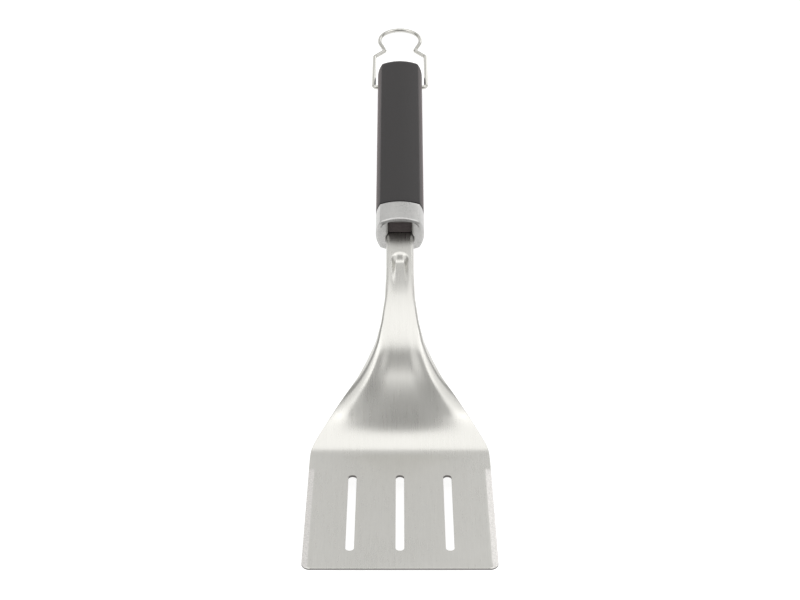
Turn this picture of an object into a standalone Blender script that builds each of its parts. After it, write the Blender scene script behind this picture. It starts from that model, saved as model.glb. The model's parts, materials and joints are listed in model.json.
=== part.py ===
"""Grill spatula: a stamped steel blade and neck, a metal ferrule, a soft-touch handle and a wire loop.

The tool is drawn in its own frame: Y runs from the blade's front edge to the handle's end, Z is up from the
underside of the flat blade, and X is across. One empty then turns it to the way it lies on a table, resting
on the heel of the blade and the rear end of the handle.
"""

from math import acos, asin, atan2, cos, hypot, pi, radians, sin

import bmesh
import bpy
import numpy as np
from mathutils import Matrix

MM = 0.001

# Stamped sheet: blade, dish, neck and tang in one piece
SHEET = 1.4  # thickness
BLADE_WIDTH = 106.5
CORNER_RADIUS = 5.0
SLOT_WIDTH = 4.8
SLOT_PITCH = 27.5
SLOT_START, SLOT_END = 15.5, 88.0  # distances from the front edge
NECK_END = 272.0  # length along the sheet from the front edge to the ferrule's mouth
TANG_WIDTH = 13.0
TANG_LENGTH = 96.0
TANG_START, TANG_FULL = 2.5, 7.0  # distances past the neck's end over which it narrows to the tang
BOW_REACH = 35.0
CHANNEL_END, CHANNEL_RAMP = 247.0, 7.5  # where the stamped channel's end starts to rise, and its run
ROLL_ANGLE = 86.0  # of a fully rolled edge, in degrees
ROLL_ARC = 3.2  # developed length of the rolled edge's bend
RIM, FLANGE = 0.8, 4.0  # straight edge outside the bend, where it is flat and where it is fully rolled
DISH_FLOOR = 0.38  # share of the dish's half width that stays level before its wall rises

# Upward slope of the sheet's crest, in degrees, against length along it
SLOPE = ((0, 0), (109, 0), (114, 18), (120, 30), (126, 40.5), (132, 48), (138, 49.5), (146, 48.2),
         (156, 44.1), (162, 42.4), (168, 43.2), (173, 43.4), (180, 36.9), (188, 32.2), (196, 27.3), (210, 22),
         (228, 18), (250, 16), (400, 16))
# Half width of the outline against length along the sheet
HALF_WIDTH = ((104, 53.25), (112, 53.1), (117, 51.8), (124, 48.6), (136, 41.6), (148, 34.0), (160, 26.0),
              (172, 19.8), (184, 15.1), (198, 11.7), (216, 9.6), (240, 8.85), (400, 8.85))
# Half width of the dish between its ridges, and of the channel that it narrows to
DISH_HALF = ((0, 31), (136, 31), (146, 25.5), (156, 19.5), (166, 15.0), (176, 11.6), (186, 9.0), (196, 7.6),
             (208, 6.6), (220, 6.2), (400, 6.2))
# Depth of the dish and of the channel below their ridges
DISH_DEPTH = ((0, 0), (136, 0), (146, 0.4), (156, 0.9), (163, 1.25), (169, 1.2), (176, 0.8), (184, 0.45),
              (192, 0.25), (218, 0.3), (226, 0.7), (234, 1.6), (241, 2.5), (247, 3.0), (400, 3.0))
# How far the sheet bows down across its width, at BOW_REACH from the middle
CROSS_BOW = ((0, 0), (119, 0), (124, 0.3), (130, 0.9), (138, 2.4), (148, 3.0), (160, 1.9), (172, 0.6),
             (184, 0), (400, 0))
# How far the sheet's edges droop below the ridges, on either side of the steep part
EDGE_DROOP = ((0, 0), (121, 0), (132, 0.7), (142, 1.7), (154, 3.0), (166, 2.9), (178, 1.7), (190, 0.5),
              (200, 0), (400, 0))
# How far the edges are rolled down, from flat to a full right angle
EDGE_ROLL = ((0, 0), (146, 0), (166, 0.45), (186, 0.9), (200, 1), (400, 1))

# Handle, measured along its own axis from the ferrule's front face
HANDLE_HALF_WIDTH = 15.5
HANDLE_HALF_HEIGHT = 12.5
CREASE_X, CREASE_Z = 12.6, 9.9  # where the crowned faces meet the rounded sides
FERRULE_SLANT = 0.14  # the mouth leans forward at the bottom by this much per unit of height
FERRULE_LENGTH = 17.5
HANDLE_LENGTH = 169.4
END_RADIUS = 5.0
SKIN = 2.2  # thickness of the soft grip and of the ferrule's wall
GAP = 0.3  # between pieces that touch
CORE_START = 8.3
PIN_RADIUS = 1.5
PIN_HALF = 8.5
PIN_PLACES = (30.0, 74.0)
FERRULE_EDGE = 1.6  # rounding of its front rim
EDGE_BREAK = 0.5  # small chamfer where the ferrule and the grip meet
MOUTH_HALF, INSERT_HALF = 9.15, 8.1  # the mouth clears the neck, and narrows above it to the insert
MOUTH_LOW, MOUTH_STEP, MOUTH_HIGH = -6.8, 1.1, 10.2
INSERT_PROUD = 0.6
CLEAR = 24.0  # far enough outside the handle for a cutter to pass through its wall

# Hanging loop, measured from its pivot
LOOP_PIVOT = 152.2  # along the handle
WIRE_RADIUS = 1.4
LEG_HALF, SHOULDER_HALF, WAIST_HALF = 18.4, 18.2, 10.7
SHOULDER_AT, WAIST_AT, RING_CENTRE = 39.6, 47.6, 61.2
RING_RADIUS = 14.75
FOOT_BEND, SHOULDER_BEND, WAIST_BEND = 2.2, 2.4, 1.6
WIRE_END = 9.2  # where each end of the wire stops inside the handle
BUSH_RADIUS = 2.5
BUSH_INNER = 8.4  # where each liner starts inside the handle
RUNNING_GAP = 0.08
WIRE_CLEARANCE = 0.2  # between the loop at rest and the table


def clear_scene():
    for obj in list(bpy.data.objects):
        bpy.data.objects.remove(obj, do_unlink=True)


def collection(name):
    made = bpy.data.collections.new(name)
    bpy.context.scene.collection.children.link(made)
    return made


def material(name, colour, roughness, metallic=0.0):
    made = bpy.data.materials.new(name)
    made.use_nodes = True
    shader = made.node_tree.nodes["Principled BSDF"]
    shader.inputs["Base Color"].default_value = (*colour, 1.0)
    shader.inputs["Roughness"].default_value = roughness
    shader.inputs["Metallic"].default_value = metallic
    return made


def mesh_object(name, points, faces, home, parent=None, slot=None):
    """An object from points in millimetres, with its faces turned outwards."""
    mesh = bpy.data.meshes.new(name)
    mesh.from_pydata([tuple(MM * float(value) for value in point) for point in points], [], faces)
    work = bmesh.new()
    work.from_mesh(mesh)
    bmesh.ops.recalc_face_normals(work, faces=work.faces)
    work.to_mesh(mesh)
    work.free()
    obj = bpy.data.objects.new(name, mesh)
    obj.parent = parent
    home.objects.link(obj)
    if slot:
        mesh.materials.append(slot)
        mesh.shade_smooth()
        mesh.set_sharp_from_angle(angle=radians(25))
    return obj


def empty(name, parent, location, pitch, home):
    made = bpy.data.objects.new(name, None)
    made.parent = parent
    made.location = [MM * value for value in location]
    made.rotation_euler = (pitch, 0.0, 0.0)
    home.objects.link(made)
    return made


def boolean(obj, other, operation="DIFFERENCE"):
    modifier = obj.modifiers.new(operation.title(), "BOOLEAN")
    modifier.object = other
    modifier.operation = operation


def as_cutter(obj):
    obj.hide_render = True
    obj.display_type = "WIRE"
    return obj


def box(name, low, high, home, parent):
    """A rectangular block between two corners."""
    corners = [(x, y, z) for x in (low[0], high[0]) for y in (low[1], high[1]) for z in (low[2], high[2])]
    faces = [(0, 1, 3, 2), (4, 6, 7, 5), (0, 4, 5, 1), (2, 3, 7, 6), (0, 2, 6, 4), (1, 5, 7, 3)]
    return mesh_object(name, corners, faces, home, parent)


def cylinder(name, radius, start, end, axis, home, parent, slot=None, sides=32):
    """A round bar between two points on a line along X or Z."""
    work = bmesh.new()
    bmesh.ops.create_cone(work, cap_ends=True, segments=sides, radius1=radius * MM, radius2=radius * MM,
                          depth=abs(end[axis] - start[axis]) * MM)
    if axis == 0:
        bmesh.ops.rotate(work, verts=work.verts, matrix=Matrix.Rotation(pi / 2, 3, "Y"))
    middle = [MM * (a + b) / 2 for a, b in zip(start, end)]
    bmesh.ops.translate(work, verts=work.verts, vec=middle)
    mesh = bpy.data.meshes.new(name)
    work.to_mesh(mesh)
    work.free()
    obj = bpy.data.objects.new(name, mesh)
    obj.parent = parent
    home.objects.link(obj)
    if slot:
        mesh.materials.append(slot)
        mesh.shade_smooth()
        mesh.set_sharp_from_angle(angle=radians(25))
    return obj


def along(table, length):
    """The value of one of the sheet's tables at a length, eased between its points."""
    places, values = np.array(table, float).T
    offsets = np.linspace(-3.0, 3.0, 13)
    return np.mean([np.interp(length + offset, places, values) for offset in offsets], axis=0)


def centreline(length):
    """Height, distance forward and slope of the sheet's crest at each length along it."""
    step = 0.25
    steps = np.arange(0.0, NECK_END + TANG_LENGTH + step, step)
    slopes = np.radians(along(SLOPE, steps))
    forward = np.concatenate([[0.0], np.cumsum(np.cos(slopes[:-1]) * step)])
    height = np.concatenate([[0.0], np.cumsum(np.sin(slopes[:-1]) * step)])
    return tuple(np.interp(length, steps, values) for values in (forward, height, slopes))


def tang_share(length):
    """0 on the neck and 1 on the flat tang, changing over a few millimetres inside the ferrule."""
    return np.clip((length - NECK_END - TANG_START) / (TANG_FULL - TANG_START), 0.0, 1.0)


def outline(length):
    """Half width of the sheet: round front corners, parallel sides, a waisted neck and a narrower tang."""
    half = along(HALF_WIDTH, length)
    corner = np.clip(CORNER_RADIUS - length, 0.0, CORNER_RADIUS)
    half = half - CORNER_RADIUS + np.sqrt(CORNER_RADIUS**2 - corner**2)
    return half + tang_share(length) * (TANG_WIDTH / 2 - half)


def sheet_rows():
    """Lengths along the sheet at which it is sectioned, closer where it bends."""
    return np.concatenate([
        CORNER_RADIUS * (1 - np.cos(np.linspace(0.0, pi / 2, 7))),
        [14.0, 50.0, 90.0, 104.0],
        np.arange(108.0, 200.0, 4.0),
        np.arange(200.0, CHANNEL_END, 6.0),
        CHANNEL_END + CHANNEL_RAMP * np.array([0.0, 0.25, 0.5, 0.75, 1.0]),
        NECK_END + np.array([-10.0, 0.0, TANG_START, 4.0, 5.5, TANG_FULL, 10.0, 45.0, TANG_LENGTH]),
    ])


def sheet_section(length):
    """Across-positions and drops below the crest, from one edge of the sheet to the other."""
    half = outline(length)
    roll = along(EDGE_ROLL, length) * (1.0 - tang_share(length))
    bend = max(radians(ROLL_ANGLE) * roll, 1e-4)
    flange = RIM + (FLANGE - RIM) * roll
    arc = ROLL_ARC * min(1.0, half / 8.0)
    turned = np.linspace(0.0, bend, 5)
    edge_x = arc / bend * np.sin(turned)
    edge_drop = arc / bend * (1.0 - np.cos(turned))
    edge_x = np.append(edge_x, edge_x[-1] + flange * cos(bend))
    edge_drop = np.append(edge_drop, edge_drop[-1] + flange * sin(bend))
    start = half - edge_x[-1]
    dish = min(along(DISH_HALF, length), 0.93 * start)
    inner = dish * np.array([0.0, 0.2, 0.38, 0.54, 0.7, 0.85, 1.0])
    x = np.concatenate([inner, [(dish + start) / 2], start + edge_x])
    up_end = max(0.0, length - CHANNEL_END) / CHANNEL_RAMP
    level = DISH_FLOOR * (1.0 - min(up_end, 1.0))
    up_wall = np.maximum(0.0, x / dish - level) / (1.0 - level)
    fall = np.clip(np.hypot(up_wall, up_end), 0.0, 1.0)
    drop = along(DISH_DEPTH, length) * (1.0 + np.cos(pi * fall)) / 2
    drop[len(inner) + 1:] += edge_drop
    outward = np.clip((x - dish) / (half - dish), 0.0, 1.0)
    drop += along(EDGE_DROOP, length) * outward**1.5
    drop += along(CROSS_BOW, length) * (x / BOW_REACH) ** 2
    return np.concatenate([-x[:0:-1], x]), np.concatenate([drop[:0:-1], drop])


def blade_head(home, cutters, parent, steel):
    """The stamped sheet, with its slots and the tang's two holes."""
    rows = sheet_rows()
    points = []
    for length in rows:
        x, drop = sheet_section(length)
        forward, height, slope = centreline(length)
        points.extend(zip(x, forward + drop * sin(slope), SHEET + height - drop * cos(slope)))
    columns = len(points) // len(rows)
    faces = [(r * columns + c, r * columns + c + 1, (r + 1) * columns + c + 1, (r + 1) * columns + c)
             for r in range(len(rows) - 1) for c in range(columns - 1)]
    head = mesh_object("blade_head", points, faces, home, parent, steel)
    if head.data.polygons[len(faces) // 8].normal.z < 0:
        head.data.flip_normals()
    solid = head.modifiers.new("Thickness", "SOLIDIFY")
    solid.thickness = SHEET * MM
    solid.offset = -1.0
    solid.use_even_offset = True
    for number, place in enumerate((-SLOT_PITCH, 0.0, SLOT_PITCH), start=1):
        boolean(head, slot_cutter(f"slot_cutter_{number}", place, cutters, parent))
    return head


def slot_cutter(name, across, home, parent):
    """A tall prism with half-round ends."""
    radius = SLOT_WIDTH / 2
    turns = np.linspace(0.0, pi, 9)
    ring = [(across + radius * cos(a), SLOT_END - radius + radius * sin(a)) for a in turns]
    ring += [(across - radius * cos(a), SLOT_START + radius - radius * sin(a)) for a in turns]
    count = len(ring)
    points = [(x, y, -5.0) for x, y in ring] + [(x, y, 5.0) for x, y in ring]
    faces = [tuple(range(count))[::-1], tuple(range(count, 2 * count))]
    faces += [(i, (i + 1) % count, count + (i + 1) % count, count + i) for i in range(count)]
    return as_cutter(mesh_object(name, points, faces, home, parent))


def handle_section(inset=0.0, side_steps=5, face_steps=6):
    """The handle's cross-section: crowned top and bottom faces meeting rounded sides at four soft creases."""
    side_radius = (CREASE_Z**2 + (HANDLE_HALF_WIDTH - CREASE_X) ** 2) / (2 * (HANDLE_HALF_WIDTH - CREASE_X))
    face_radius = (CREASE_X**2 + (HANDLE_HALF_HEIGHT - CREASE_Z) ** 2) / (2 * (HANDLE_HALF_HEIGHT - CREASE_Z))
    side = np.linspace(0.0, asin(CREASE_Z / side_radius), side_steps)
    face = np.linspace(asin(CREASE_X / face_radius), 0.0, face_steps)[1:]
    x = np.concatenate([HANDLE_HALF_WIDTH - side_radius * (1 - np.cos(side)), face_radius * np.sin(face)])
    z = np.concatenate([side_radius * np.sin(side), HANDLE_HALF_HEIGHT - face_radius * (1 - np.cos(face))])
    x = x * (1 - inset / HANDLE_HALF_WIDTH)
    z = z * (1 - inset / HANDLE_HALF_HEIGHT)
    x = np.concatenate([x, -x[-2::-1], -x[1:], x[-2:0:-1]])
    z = np.concatenate([z, z[-2::-1], -z[1:], -z[-2:0:-1]])
    return np.column_stack([x, z])


def loft(name, rings, home, parent, slot=None, open_front=False):
    """A skin through rings of equal count, closed at its ends."""
    count = len(rings[0])
    points = [point for ring in rings for point in ring]
    faces = []
    for start in range(0, len(points) - count, count):
        for i in range(count):
            j = (i + 1) % count
            faces.append((start + i, start + j, start + count + j, start + count + i))
    faces.append(tuple(range(len(points) - count, len(points))))
    if not open_front:
        faces.append(tuple(range(count))[::-1])
    return mesh_object(name, points, faces, home, parent, slot)


def ring_at(place, inset=0.0, slant=0.0):
    """One ring of the handle at a distance along it, drawn in from the full section by the inset."""
    return [(x, place + slant * z, z) for x, z in handle_section(inset)]


def rounded_end(end, inset, radius):
    """Rings that turn the handle's wall over into its end face."""
    turns = np.linspace(0.0, pi / 2, 6)
    return [ring_at(end - radius + radius * sin(a), inset + radius * (1 - cos(a))) for a in turns]


def ferrule(home, cutters, parent, chrome):
    """The collar: a round-rimmed shell with a stepped mouth for the neck and the insert."""
    front = -FERRULE_SLANT * HANDLE_HALF_HEIGHT
    rings = []
    for turn in np.linspace(pi / 2, 0.0, 4):
        place, inset = front + FERRULE_EDGE * (1 - sin(turn)), FERRULE_EDGE * (1 - cos(turn))
        rings.append(ring_at(place, inset, FERRULE_SLANT))
    rings += [ring_at(FERRULE_LENGTH - EDGE_BREAK), ring_at(FERRULE_LENGTH, EDGE_BREAK)]
    shell = loft("ferrule", rings, home, parent, chrome)
    bore_rings = [ring_at(FERRULE_EDGE, SKIN, FERRULE_SLANT), ring_at(FERRULE_LENGTH + SKIN, SKIN)]
    boolean(shell, as_cutter(loft("ferrule_bore", bore_rings, cutters, parent)))
    ahead, behind = -2 * SKIN, CORE_START
    upper_half = INSERT_HALF + GAP
    for name, half, low, high in (("mouth_lower", MOUTH_HALF, MOUTH_LOW, MOUTH_STEP),
                                  ("mouth_upper", upper_half, 0.0, MOUTH_HIGH)):
        block = box(name, (-half, ahead, low), (half, behind, high), cutters, parent)
        boolean(shell, as_cutter(block))
    return shell


def neck_plug(home, parent, plastic):
    """The dark insert that fills the ferrule's mouth above the neck."""
    low = (-INSERT_HALF, -INSERT_PROUD, SHEET / 2 + GAP)
    high = (INSERT_HALF, CORE_START - GAP, MOUTH_HIGH - GAP)
    plug = box("neck_plug", low, high, home, parent)
    plug.data.materials.append(plastic)
    bevel = plug.modifiers.new("Edges", "BEVEL")
    bevel.width = EDGE_BREAK * MM
    bevel.segments = 2
    return plug


def handle_core(home, cutters, parent, plastic):
    """The hard filling, with a pocket for the tang and holes for the pins and the loop's liners."""
    inset = SKIN + GAP
    rings = [ring_at(CORE_START, inset + 2 * EDGE_BREAK), ring_at(CORE_START + 3 * EDGE_BREAK, inset)]
    rings += rounded_end(HANDLE_LENGTH - inset, inset, END_RADIUS - SKIN)
    core = loft("handle_core", rings, home, parent, plastic)
    half, slit = TANG_WIDTH / 2 + GAP, SHEET / 2 + GAP
    low, high = (-half, CORE_START / 2, -slit), (half, TANG_LENGTH + GAP, slit)
    boolean(core, as_cutter(box("tang_pocket", low, high, cutters, parent)))
    drill_for_pins(core, "pin_hole", cutters, parent)
    drill_for_loop(core, "core_hole", BUSH_INNER - GAP, cutters, parent)
    return core


def soft_grip(home, cutters, parent, rubber):
    """The soft skin over the core, open at the ferrule."""
    middle = (FERRULE_LENGTH + LOOP_PIVOT) / 2
    front = FERRULE_LENGTH + GAP
    rings = [ring_at(front, EDGE_BREAK), ring_at(front + EDGE_BREAK), ring_at(middle)]
    rings += rounded_end(HANDLE_LENGTH, 0.0, END_RADIUS)
    grip = loft("soft_grip", rings, home, parent, rubber)
    inner = [ring_at(FERRULE_LENGTH - SKIN, SKIN), ring_at(middle, SKIN)]
    inner += rounded_end(HANDLE_LENGTH - SKIN, SKIN, END_RADIUS - SKIN)
    boolean(grip, as_cutter(loft("grip_hollow", inner, cutters, parent)))
    drill_for_loop(grip, "grip_hole", BUSH_INNER, cutters, parent)
    return grip


def drill_for_pins(obj, name, cutters, parent):
    for number, place in enumerate(PIN_PLACES, start=1):
        low, high = (0, place, -CLEAR), (0, place, CLEAR)
        hole = cylinder(f"{name}_{number}", PIN_RADIUS + GAP, low, high, 2, cutters, parent)
        boolean(obj, as_cutter(hole))


def drill_for_loop(obj, name, start, cutters, parent):
    """Holes for the liners, from a distance off the middle outwards."""
    for side, sign in (("left", -1), ("right", 1)):
        inner, outer = (sign * start, LOOP_PIVOT, 0), (sign * CLEAR, LOOP_PIVOT, 0)
        hole = cylinder(f"{name}_{side}", BUSH_RADIUS + GAP, inner, outer, 0, cutters, parent)
        boolean(obj, as_cutter(hole))


def loop_bushes(home, cutters, parent, plastic):
    """The two liners that the ends of the loop turn in."""
    for side, sign in (("left", -1), ("right", 1)):
        stations = [sign * reach for reach in (0.0, BUSH_INNER, HANDLE_HALF_WIDTH - RUNNING_GAP, CLEAR)]
        middle, inner, outer, clear = [(x, LOOP_PIVOT, 0) for x in stations]
        bush = cylinder(f"loop_bush_{side}", BUSH_RADIUS, inner, outer, 0, home, parent, plastic)
        bore = cylinder(f"bush_bore_{side}", WIRE_RADIUS + RUNNING_GAP, middle, clear, 0, cutters, parent)
        boolean(bush, as_cutter(bore))


def tang_pins(home, parent, steel):
    for name, place in zip(("tang_pin_front", "tang_pin_rear"), PIN_PLACES):
        cylinder(name, PIN_RADIUS, (0, place, -PIN_HALF), (0, place, PIN_HALF), 2, home, parent, steel)


def round_corner(before, corner, after, radius, steps=4):
    """Points of an arc that rounds one corner of a flat path."""
    corner = np.array(corner, float)
    back = np.array(before, float) - corner
    on = np.array(after, float) - corner
    back /= np.linalg.norm(back)
    on /= np.linalg.norm(on)
    half_angle = np.arccos(np.clip(back @ on, -1, 1)) / 2
    reach = radius / np.tan(half_angle)
    middle = corner + (back + on) / np.linalg.norm(back + on) * radius / np.sin(half_angle)
    first, last = corner + back * reach - middle, corner + on * reach - middle
    shares = np.linspace(0.0, 1.0, steps)
    spokes = np.outer(1 - shares, first) + np.outer(shares, last)
    return middle + spokes / np.linalg.norm(spokes, axis=1)[:, None] * radius


def loop_route():
    """Half of the wire's flat route, from its end in the handle to the top of the ring."""
    end, foot = (WIRE_END, 0.0), (LEG_HALF, 0.0)
    shoulder, waist = (SHOULDER_HALF, SHOULDER_AT), (WAIST_HALF, WAIST_AT)
    drop = RING_CENTRE - WAIST_AT
    start = acos(RING_RADIUS / hypot(WAIST_HALF, drop)) - atan2(drop, WAIST_HALF)
    turns = np.linspace(start, pi / 2, 13)
    ring = np.column_stack([RING_RADIUS * np.cos(turns), RING_CENTRE + RING_RADIUS * np.sin(turns)])
    return np.vstack([
        [end],
        round_corner(end, foot, shoulder, FOOT_BEND),
        round_corner(foot, shoulder, waist, SHOULDER_BEND),
        round_corner(shoulder, waist, ring[0], WAIST_BEND),
        ring,
    ])


def hanging_loop(home, parent, wire_metal):
    half = loop_route()
    route = np.vstack([half, half[-2::-1] * (-1, 1)])
    curve = bpy.data.curves.new("hanging_loop", "CURVE")
    curve.dimensions = "3D"
    curve.bevel_depth = WIRE_RADIUS * MM
    curve.bevel_resolution = 2
    curve.use_fill_caps = True
    spline = curve.splines.new("POLY")
    spline.points.add(len(route) - 1)
    for point, (x, y) in zip(spline.points, route):
        point.co = (x * MM, y * MM, 0.0, 1.0)
    curve.materials.append(wire_metal)
    loop = bpy.data.objects.new("hanging_loop", curve)
    loop.parent = parent
    home.objects.link(loop)
    return loop


def resting_tilt():
    """How far the blade tips up when its heel and the handle's end both lie on the table."""
    forward, height, slope = (float(value) for value in centreline(NECK_END))
    end, drop = HANDLE_LENGTH - END_RADIUS, HANDLE_HALF_HEIGHT
    rear = forward + end * cos(slope) + drop * sin(slope)
    rear_height = height + SHEET / 2 + end * sin(slope) - drop * cos(slope)
    lengths = np.arange(90.0, 130.0, 0.5)
    heel, heel_height, heel_slope = centreline(lengths)
    heel = heel + SHEET * np.sin(heel_slope)
    heel_height = heel_height + SHEET - SHEET * np.cos(heel_slope)
    return float(np.max(np.arctan2(rear_height - heel_height, rear - heel)))


def centre_over_origin(tool, parts):
    """Moves the whole tool so that its footprint is centred and its lowest point is on the ground."""
    bpy.context.view_layer.update()
    graph = bpy.context.evaluated_depsgraph_get()
    corners = []
    for obj in parts.objects:
        if obj.type == "EMPTY":
            continue
        evaluated = obj.evaluated_get(graph)
        mesh = evaluated.to_mesh()
        places = np.empty(len(mesh.vertices) * 3)
        mesh.vertices.foreach_get("co", places)
        world = np.array(evaluated.matrix_world)
        places = places.reshape(-1, 3) @ world[:3, :3].T + world[:3, 3]
        corners += [places.min(axis=0), places.max(axis=0)]
        evaluated.to_mesh_clear()
    low, high = np.min(corners, axis=0), np.max(corners, axis=0)
    tool.location.y -= (low[1] + high[1]) / 2
    tool.location.z -= low[2]


def main():
    clear_scene()
    parts = collection("grill_spatula")
    cutters = collection("cutters")
    brushed = material("brushed_stainless", (0.56, 0.555, 0.54), 0.32, 1.0)
    chrome = material("satin_chrome", (0.66, 0.66, 0.65), 0.25, 1.0)
    wire_metal = material("polished_wire", (0.62, 0.61, 0.58), 0.15, 1.0)
    rubber = material("soft_grip_black", (0.045, 0.043, 0.043), 0.6)
    plastic = material("core_black", (0.02, 0.02, 0.02), 0.45)
    brown = material("plug_brown", (0.035, 0.022, 0.02), 0.5)
    acetal = material("bush_grey", (0.05, 0.05, 0.05), 0.4)

    tilt = resting_tilt()
    forward, height, slope = (float(value) for value in centreline(NECK_END))
    tool = empty("tool_frame", None, (0, 0, 0), -tilt, parts)
    neck_end = (0, forward + SHEET / 2 * sin(slope), height + SHEET / 2)
    grip_frame = empty("handle_frame", tool, neck_end, slope, parts)

    head = blade_head(parts, cutters, tool, brushed)
    drill_for_pins(head, "tang_hole", cutters, grip_frame)
    ferrule(parts, cutters, grip_frame, chrome)
    neck_plug(parts, grip_frame, brown)
    handle_core(parts, cutters, grip_frame, plastic)
    soft_grip(parts, cutters, grip_frame, rubber)
    tang_pins(parts, grip_frame, brushed)
    loop_bushes(parts, cutters, grip_frame, acetal)

    below = (HANDLE_LENGTH - END_RADIUS - LOOP_PIVOT) * sin(slope - tilt)
    pivot_height = HANDLE_HALF_HEIGHT * cos(slope - tilt) - below
    reach = RING_CENTRE + RING_RADIUS
    droop = asin((pivot_height - WIRE_RADIUS - WIRE_CLEARANCE) / reach)
    loop_frame = empty("loop_pivot", grip_frame, (0, LOOP_PIVOT, 0), -droop - (slope - tilt), parts)
    hanging_loop(parts, loop_frame, wire_metal)
    centre_over_origin(tool, parts)


main()
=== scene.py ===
# %% [markdown]
# # A grill spatula, piece by piece
#
# This lesson builds the fine surfaces of a grill spatula round a finished mechanical model. That model,
# called the frame here, already says where every piece is and what it moves with. Each cell adds one piece
# or one finish. The shapes are sums on whole numpy arrays: a piece is a function of two numbers, one that
# runs along it and one that runs across or round it.

import json
from math import radians

import bpy
import numpy as np
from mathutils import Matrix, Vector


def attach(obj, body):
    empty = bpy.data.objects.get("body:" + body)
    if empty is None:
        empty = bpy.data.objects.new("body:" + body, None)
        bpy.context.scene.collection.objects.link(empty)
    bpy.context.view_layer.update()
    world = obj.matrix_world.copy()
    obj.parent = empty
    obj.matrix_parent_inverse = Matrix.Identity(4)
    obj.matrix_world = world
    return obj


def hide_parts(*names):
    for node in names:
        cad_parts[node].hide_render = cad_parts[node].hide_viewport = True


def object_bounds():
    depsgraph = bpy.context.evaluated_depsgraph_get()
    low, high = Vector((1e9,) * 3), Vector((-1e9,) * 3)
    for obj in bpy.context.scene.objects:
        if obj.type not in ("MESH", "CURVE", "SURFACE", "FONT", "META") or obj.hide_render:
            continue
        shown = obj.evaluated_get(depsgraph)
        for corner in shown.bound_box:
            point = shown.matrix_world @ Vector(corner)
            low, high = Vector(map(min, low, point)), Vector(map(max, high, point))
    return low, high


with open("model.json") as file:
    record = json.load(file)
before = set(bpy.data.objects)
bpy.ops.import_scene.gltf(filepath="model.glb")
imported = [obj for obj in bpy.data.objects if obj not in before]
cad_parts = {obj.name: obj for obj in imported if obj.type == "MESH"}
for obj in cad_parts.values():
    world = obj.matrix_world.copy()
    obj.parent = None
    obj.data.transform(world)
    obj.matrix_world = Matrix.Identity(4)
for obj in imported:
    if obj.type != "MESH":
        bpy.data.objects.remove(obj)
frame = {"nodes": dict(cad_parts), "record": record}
cad_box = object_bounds()
record = frame["record"]
MM = 0.001
print("nodes:", ", ".join(sorted(frame["nodes"])))

# %% [markdown]
# ## Three places to draw in
#
# The blade lies tipped up on its heel, so drawing it straight in the world would be awkward. The frame's
# record gives a point on the blade's underside and the direction that it faces, and those two give the
# tool's own frame, with Y along the blade and Z square to it. The loop gets one from its hinge and its ring,
# and the handle gets one from the end of the neck. A small class holds an origin and two axes, and turns
# millimetres in that frame into metres in the world.


# %% Frames
class Place:
    """A frame that pitches about X: its Y axis points at `pitch` above the horizon."""

    def __init__(self, origin, pitch):
        self.origin = np.array(origin, float)
        self.pitch = pitch
        self.along = np.array([0.0, np.cos(pitch), np.sin(pitch)])
        self.up = np.array([0.0, -np.sin(pitch), np.cos(pitch)])

    def world(self, x, y, z):
        """Points in metres, from arrays of across, along and up in millimetres."""
        x, y, z = np.broadcast_arrays(x, y, z)
        flat = np.stack([x, np.zeros_like(x, float), np.zeros_like(x, float)], axis=-1)
        return self.origin + MM * (flat + y[..., None] * self.along + z[..., None] * self.up)


def named(items, name):
    return next(item for item in items if item["name"] == name)


BLADE_MARK = np.array([13.75, 52.0, 0.0])  # where the underside's mount lies in the tool's frame
underside = named(record["mounts"], "blade_underside")
eye = np.array(named(record["mounts"], "hanging_eye")["pos_m"])
swing = named(record["behaviour"]["joints"], "loop_swing")
pivot = np.array(swing["pos_m"])

tool = Place((0, 0, 0), np.arctan2(underside["axis"][1], -underside["axis"][2]))
tool.origin = np.array(underside["pos_m"]) - tool.world(*BLADE_MARK)
loop_place = Place(pivot, np.arctan2(eye[2] - pivot[2], eye[1] - pivot[1]))
print(f"blade pitch {np.degrees(tool.pitch):.2f}, loop pitch {np.degrees(loop_place.pitch):.2f} degrees")

# %% [markdown]
# ## From arrays to a mesh
#
# A grid of points becomes quads between neighbours. The grid can close on itself round its second direction,
# as a tube does, and along its first, as a ring does. Open ends get a fan of triangles to their middle. A
# finished mesh is turned to face outwards and shaded smooth, and an edge stays sharp where two faces meet at
# more than a set angle.


# %% Mesh helpers
def grid_faces(rows, columns, close_rows=False, close_columns=True, start=0):
    """Quads between neighbouring points of a grid stored row by row."""
    row_steps, column_steps = rows - (not close_rows), columns - (not close_columns)
    r, c = np.meshgrid(np.arange(row_steps), np.arange(column_steps), indexing="ij")
    r2, c2 = (r + 1) % rows, (c + 1) % columns
    quads = np.stack([r * columns + c, r * columns + c2, r2 * columns + c2, r2 * columns + c], axis=-1)
    return start + quads.reshape(-1, 4)


def neighbours(columns):
    """The numbers round one ring, and the number that follows each."""
    around = np.arange(columns)
    return around, (around + 1) % columns


def fan(these, those, middle):
    """Triangles from the edges of a ring to one point."""
    return np.stack([these, those, np.full(len(these), middle)], axis=-1)


def finish_mesh(name, points, faces, sharp=35.0):
    """An object from points and lists of faces, with its faces turned outwards."""
    mesh = bpy.data.meshes.new(name)
    mesh.from_pydata(points.tolist(), [], [face for group in faces for face in group.tolist()])
    obj = bpy.data.objects.new(name, mesh)
    bpy.context.scene.collection.objects.link(obj)
    mesh.validate()
    corners = np.empty(len(mesh.vertices) * 3)
    mesh.vertices.foreach_get("co", corners)
    mesh.calc_loop_triangles()
    triangles = np.empty(len(mesh.loop_triangles) * 3, np.int32)
    mesh.loop_triangles.foreach_get("vertices", triangles)
    if np.linalg.det(corners.reshape(-1, 3)[triangles.reshape(-1, 3)]).sum() < 0:
        mesh.flip_normals()
    shade(obj, sharp)
    return obj


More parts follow.
